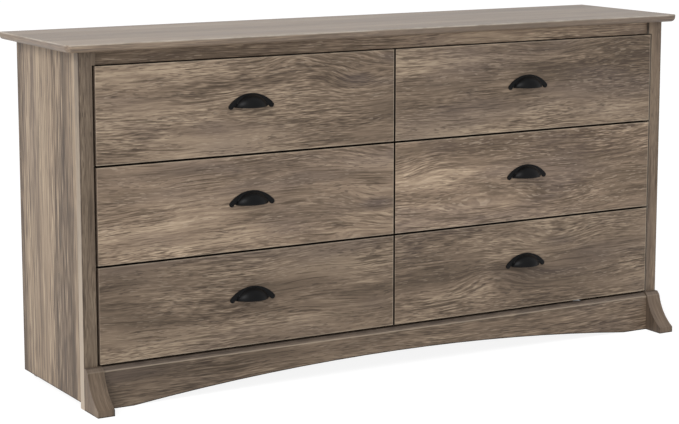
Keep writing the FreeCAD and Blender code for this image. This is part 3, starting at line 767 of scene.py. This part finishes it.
def ringFaces(rowCount, columnCount, offset):
    # quad (i, j), (i, j+1), (i+1, j+1), (i+1, j) for every cell of a grid whose columns close on themselves
    i = np.arange(rowCount - 1)[:, None] * columnCount
    j = np.arange(columnCount)[None, :]
    nextI = i + columnCount
    nextJ = (j + 1) % columnCount
    return np.stack([i + j, i + nextJ, nextI + nextJ, nextI + j], axis=-1).reshape(-1, 4) + offset


def meshObject(name, grids, sharpDegrees=35, mergeDistance=0.02 * millimetre):
    # each grid is an array of rows x columns x 3, in metres
    faces = []
    offset = 0
    for grid in grids:
        faces.append(ringFaces(grid.shape[0], grid.shape[1], offset))
        offset += grid.shape[0] * grid.shape[1]
    vertices = np.concatenate([grid.reshape(-1, 3) for grid in grids]).astype(np.float32)
    quads = np.concatenate(faces).astype(np.int32)
    mesh = bpy.data.meshes.new(name)
    mesh.vertices.add(len(vertices))
    mesh.vertices.foreach_set("co", vertices.ravel())
    mesh.loops.add(quads.size)
    mesh.loops.foreach_set("vertex_index", quads.ravel())
    mesh.polygons.add(len(quads))
    mesh.polygons.foreach_set("loop_start", np.arange(0, quads.size, 4, dtype=np.int32))
    mesh.update(calc_edges=True)
    work = bmesh.new()
    work.from_mesh(mesh)
    bmesh.ops.remove_doubles(work, verts=work.verts, dist=mergeDistance)
    bmesh.ops.recalc_face_normals(work, faces=work.faces)
    work.to_mesh(mesh)
    work.free()
    mesh.polygons.foreach_set("use_smooth", np.ones(len(mesh.polygons), dtype=bool))
    mesh.set_sharp_from_angle(angle=math.radians(sharpDegrees))
    mesh.update()
    piece = bpy.data.objects.new(name, mesh)
    bpy.context.scene.collection.objects.link(piece)
    return piece


# Cup pull, in millimetres from the middle of its flange's lower line, on the drawer front
cupPull = {
    "earReach": 46.5,
    "earRadius": 5.5,
    "flangeHeight": 31.5,
    "flangeThickness": 2.4,
    "flangeRound": 1.1,
    "lipLift": 4.5,
    "domeHalfWidth": 38.0,
    "domeHeight": 25.0,
    "wall": 2.0,
    "fillet": 2.2,
    "footDepth": 0.3,  # where the dome's inner skin ends, inside the flange
    "bossReach": 32.0,
    "bossRadius": 3.2,
    "bossLift": 9.1,
    "bossLength": 7.0,
    "bossProfile": [(0, 0), (1, 0), (1, 0.9), (0.94, 0.97), (0.8, 1), (0, 1)],  # shares of radius and length
    "steps": {  # points along each line of the grids
        "topArc": 40, "ear": 40, "lipLine": 20, "flangeEdge": 7,
        "across": 61, "fillet": 6, "outerSkin": 22, "lipRound": 8, "innerSkin": 18,
        "bossRing": 24,
    },
}


def arcHeight(x, halfWidth, height):
    # z = sqrt(R^2 - x^2) - (R - height), where R = (halfWidth^2 + height^2) / (2 height)
    radius = (halfWidth ** 2 + height ** 2) / (2 * height)
    return np.sqrt(np.maximum(radius ** 2 - x ** 2, 0)) - (radius - height)


def flangeOutline(p):
    # half the outline: the top arc to the shoulder, then round the ear to the lip; the rest mirrors it
    steps = p["steps"]
    ear = np.array([p["earReach"], p["earRadius"]])
    shoulder = ear + p["earRadius"] * math.sqrt(0.5)
    height = p["flangeHeight"] - shoulder[1]
    x = shoulder[0] * np.sin(np.linspace(0, math.pi / 2, steps["topArc"]))
    topArc = np.stack([x, shoulder[1] + arcHeight(x, shoulder[0], height)], axis=1)
    lipAngle = -math.pi - math.asin((p["lipLift"] - p["earRadius"]) / p["earRadius"])
    turn = np.linspace(math.pi / 4, lipAngle, steps["ear"])
    earArc = ear + p["earRadius"] * np.stack([np.cos(turn), np.sin(turn)], axis=1)
    lip = np.linspace(earArc[-1], [0, p["lipLift"]], steps["lipLine"])
    half = np.concatenate([topArc, earArc[1:], lip[1:]])
    other = half[::-1][1:-1] * [-1, 1]
    return np.concatenate([half, other])


def flangeGrid(p, spineReach=0.88, spineRise=0.45):
    # the edge is the profile inset(a) = r (1 - cos a), depth(a) = t - r (1 - sin a), carried round the
    # outline. Both faces close on a spine, at a share of the outline's reach and of the flange's height
    outline = flangeOutline(p)
    step = np.roll(outline, -1, axis=0) - np.roll(outline, 1, axis=0)
    inward = np.stack([step[:, 1], -step[:, 0]], axis=1)
    inward = inward / np.linalg.norm(inward, axis=1)[:, None]
    thick, r = p["flangeThickness"], p["flangeRound"]
    a = np.linspace(0, math.pi / 2, p["steps"]["flangeEdge"])
    inset = np.concatenate([[0], r * (1 - np.cos(a))])
    depth = np.concatenate([[0], thick - r + r * np.sin(a)])
    xz = outline[None] + inset[:, None, None] * inward[None]
    spineX = outline[:, 0] * spineReach
    upper = arcHeight(spineX, p["earReach"], p["flangeHeight"] - p["earRadius"]) + p["earRadius"]
    spine = np.stack([spineX, p["lipLift"] + (upper - p["lipLift"]) * spineRise], axis=1)
    xz = np.concatenate([spine[None], xz, spine[None]])
    depth = np.concatenate([[0], depth, [thick]])
    y = np.broadcast_to(-depth[:, None], xz.shape[:2])
    return np.stack([xz[..., 0], y, xz[..., 1]], axis=-1)


def domeGrid(p):
    # outer skin (x, -r sin t, r cos t), r(x) the arc's height; a fillet at the flange, a round lip, an inner
    # skin. Where the dome runs out at its ends, fillet, foot and wall shrink to a share of r.
    steps = p["steps"]
    x = p["domeHalfWidth"] * np.sin(np.linspace(-math.pi / 2, math.pi / 2, steps["across"]))[:, None]
    r = arcHeight(x, p["domeHalfWidth"], p["domeHeight"])
    base = p["flangeThickness"]
    f = np.minimum(p["fillet"], r * 0.5)
    a = np.linspace(0, math.pi / 2, steps["fillet"])[None]
    start = np.arcsin(np.clip((base + f) / np.maximum(r, 1e-6), 0, 1))
    foot = np.sqrt(np.maximum(r ** 2 - (base + f) ** 2, 0))
    filletRho = foot + f * (1 - np.sin(a)) * (r > base + f)
    filletDepth = np.minimum(base + f * (1 - np.cos(a)), np.maximum(r, base * 0.5))
    t = start + (math.pi / 2 - start) * np.linspace(0, 1, steps["outerSkin"])[None]
    outerRho, outerDepth = r * np.cos(t), r * np.sin(t)
    w = np.minimum(p["wall"], r * 0.9) / 2
    b = np.linspace(0, math.pi, steps["lipRound"])[None]
    lipRho, lipDepth = -w * np.sin(b), r - w + w * np.cos(b)
    inner = r - 2 * w
    u = np.linspace(math.pi / 2, 0, steps["innerSkin"])[None]
    innerRho, innerDepth = inner * np.cos(u), inner * np.sin(u)
    backRho, backDepth = foot + f, np.full_like(r, p["footDepth"])
    rho = np.concatenate([filletRho, outerRho[:, 1:], lipRho[:, 1:], innerRho[:, 1:], backRho], axis=1)
    depth = np.concatenate([filletDepth, outerDepth[:, 1:], lipDepth[:, 1:], innerDepth[:, 1:], backDepth],
                           axis=1)
    return np.stack([np.broadcast_to(x, rho.shape), -depth, p["lipLift"] + rho], axis=-1)


def bossGrid(p, side):
    # a post on a screw: (x, z) = centre + radius(k) (cos a, sin a), with a round end
    a = np.linspace(0, 2 * math.pi, p["steps"]["bossRing"] + 1)[:-1][None]
    profile = np.array(p["bossProfile"])
    radius = p["bossRadius"] * profile[:, :1]
    depth = p["bossLength"] * profile[:, 1:]
    x = side * p["bossReach"] + radius * np.cos(a)
    z = p["bossLift"] + radius * np.sin(a)
    return np.stack([x, np.broadcast_to(-depth, x.shape), z], axis=-1)


def makePull(stem):
    low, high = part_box(stem + "_cup_pull")
    anchor = np.array([(low[0] + high[0]) / 2, high[1], low[2]])
    grids = [flangeGrid(cupPull), domeGrid(cupPull), bossGrid(cupPull, -1), bossGrid(cupPull, 1)]
    pull = meshObject(stem + "_cupPull", [grid * millimetre + anchor for grid in grids])
    pull.data.materials.append(enamel)
    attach(pull, stem + "_drawer")
    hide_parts(stem + "_cup_pull")


for row in ("lower", "middle", "upper"):
    for column in ("left", "right"):
        makePull(row + "_" + column)
print("cup pulls made")


# Plain studio: level light from all round, with more from the left
studio = {
    "worldLevel": 0.62,
    "keyPlace": (-10.5, -5.0, 8.5),
    "keyAim": (0, 0, 0.35),
    "keySize": 7.5,
    "keyWatts": 940.0,
    "floorSize": 40.0,
    "floorColour": "#F4F4F4",
    "floorSeen": 0.22,  # the floor's paint as the eye sees it, and the glow that makes it white
    "floorGlow": 0.89,
    # Patches under and beside the dresser where the floor has no glow, which paints shade there: two
    # corners, and how far each fades outwards. The first three are hidden under it and darken the floor seen
    # through its gaps, and the last two are a painted contact shadow at the right and at the rear
    "floorDark": [
        ((-0.70, 0.02), (0.70, 0.19), 0.001),
        ((-0.70, -0.13), (-0.65, 0.19), 0.001),
        ((0.65, -0.13), (0.70, 0.19), 0.001),
        ((0.66, -0.10), (0.722, 0.187), 0.04),
        ((-0.66, 0.10), (0.70, 0.187), 0.035),
    ],
}


def seenRays(tree):
    # 1 for rays from the camera, from gloss and through glass, 0 for the light that falls on the dresser
    rays = addNode(tree, "ShaderNodeLightPath").outputs
    seen = addNode(tree, "ShaderNodeMath", {"operation": "MAXIMUM"},
                   {0: rays["Is Camera Ray"], 1: rays["Is Glossy Ray"]})
    return addNode(tree, "ShaderNodeMath", {"operation": "MAXIMUM"},
                   {0: seen, 1: rays["Is Transmission Ray"]})


def makeFloor():
    reach = studio["floorSize"] / 2
    corners = [(-reach, -reach, 0), (reach, -reach, 0), (reach, reach, 0), (-reach, reach, 0)]
    mesh = bpy.data.meshes.new("studioFloor")
    mesh.from_pydata(corners, [], [(0, 1, 2, 3)])
    floor = bpy.data.objects.new("studioFloor", mesh)
    bpy.context.scene.collection.objects.link(floor)
    material, tree, own = newMaterial("studioFloor")
    seen = seenRays(tree)
    place = addNode(tree, "ShaderNodeSeparateXYZ", None, {0: own}).outputs
    glowing = addNode(tree, "ShaderNodeMath", {"operation": "MULTIPLY", 1: studio["floorGlow"]}, {0: seen})
    # painted shade: the glow fades out in each patch
    for low, high, fade in studio["floorDark"]:
        shares = []
        for axis in (0, 1):
            middle, half = (low[axis] + high[axis]) / 2, (high[axis] - low[axis]) / 2
            away = addNode(tree, "ShaderNodeMath", {"operation": "SUBTRACT", 1: middle}, {0: place[axis]})
            away = addNode(tree, "ShaderNodeMath", {"operation": "ABSOLUTE"}, {0: away})
            shares.append(addNode(tree, "ShaderNodeMapRange",
                                  {**fadeOut, "From Min": half, "From Max": half + fade}, {"Value": away}))
        dark = addNode(tree, "ShaderNodeMath", {"operation": "MULTIPLY"}, dict(enumerate(shares)))
        clear = addNode(tree, "ShaderNodeMath", {"operation": "SUBTRACT", 0: 1.0}, {1: dark})
        glowing = addNode(tree, "ShaderNodeMath", {"operation": "MULTIPLY"}, {0: glowing, 1: clear})
    paint = addNode(tree, "ShaderNodeMix",
                    {"data_type": "RGBA", 6: linear(studio["floorColour"]), 7: grey(studio["floorSeen"])},
                    {0: seen}).outputs[2]
    paint = addNode(tree, "ShaderNodeBsdfDiffuse", None, {"Color": paint})
    glow = addNode(tree, "ShaderNodeEmission", {"Color": grey(1)}, {"Strength": glowing})
    both = addNode(tree, "ShaderNodeAddShader", None, {0: paint, 1: glow})
    addNode(tree, "ShaderNodeOutputMaterial", None, {"Surface": both})
    mesh.materials.append(material)


def makeWorld():
    world = bpy.data.worlds.new("studioWorld")
    bpy.context.scene.world = world
    world.use_nodes = True
    tree = world.node_tree
    tree.nodes.clear()
    level = addNode(tree, "ShaderNodeMapRange", {"To Min": studio["worldLevel"], "To Max": 1.0},
                    {"Value": seenRays(tree)})
    sky = addNode(tree, "ShaderNodeBackground", {"Color": grey(1)}, {"Strength": level})
    addNode(tree, "ShaderNodeOutputWorld", None, {"Surface": sky})


def makeKeyLight():
    data = bpy.data.lights.new("keyLight", "AREA")
    data.shape = "DISK"
    data.size = studio["keySize"]
    data.energy = studio["keyWatts"]
    light = bpy.data.objects.new("keyLight", data)
    bpy.context.scene.collection.objects.link(light)
    light.location = studio["keyPlace"]
    aim = Vector(studio["keyAim"]) - light.location
    light.rotation_euler = aim.to_track_quat("-Z", "Y").to_euler()


# The view: a long lens to the left of the dresser, a little above its top, pitched down
camera = {
    "place": (-2.2261, -3.7266, 1.0927),
    "turn": -30.239,  # degrees, from looking along +Y
    "pitch": 8.993,  # degrees below level
    "imagePixels": 679,  # the image's width, and the focal length on it
    "focalPixels": 2005.4,
    "sensorWidth": 36.0,  # mm
    "shift": (0.0, -0.06),
    "farEnd": 100.0,  # metres
}


def makeCamera():
    data = bpy.data.cameras.new("camera")
    data.sensor_width = camera["sensorWidth"]
    data.lens = camera["focalPixels"] * camera["sensorWidth"] / camera["imagePixels"]
    data.shift_x, data.shift_y = camera["shift"]
    data.clip_end = camera["farEnd"]
    lens = bpy.data.objects.new("camera", data)
    bpy.context.scene.collection.objects.link(lens)
    lens.location = camera["place"]
    lens.rotation_euler = (math.radians(90 - camera["pitch"]), 0, math.radians(camera["turn"]))
    bpy.context.scene.camera = lens


makeFloor()
makeWorld()
makeKeyLight()
makeCamera()
bpy.context.scene.view_settings.view_transform = "Standard"
print("studio ready")
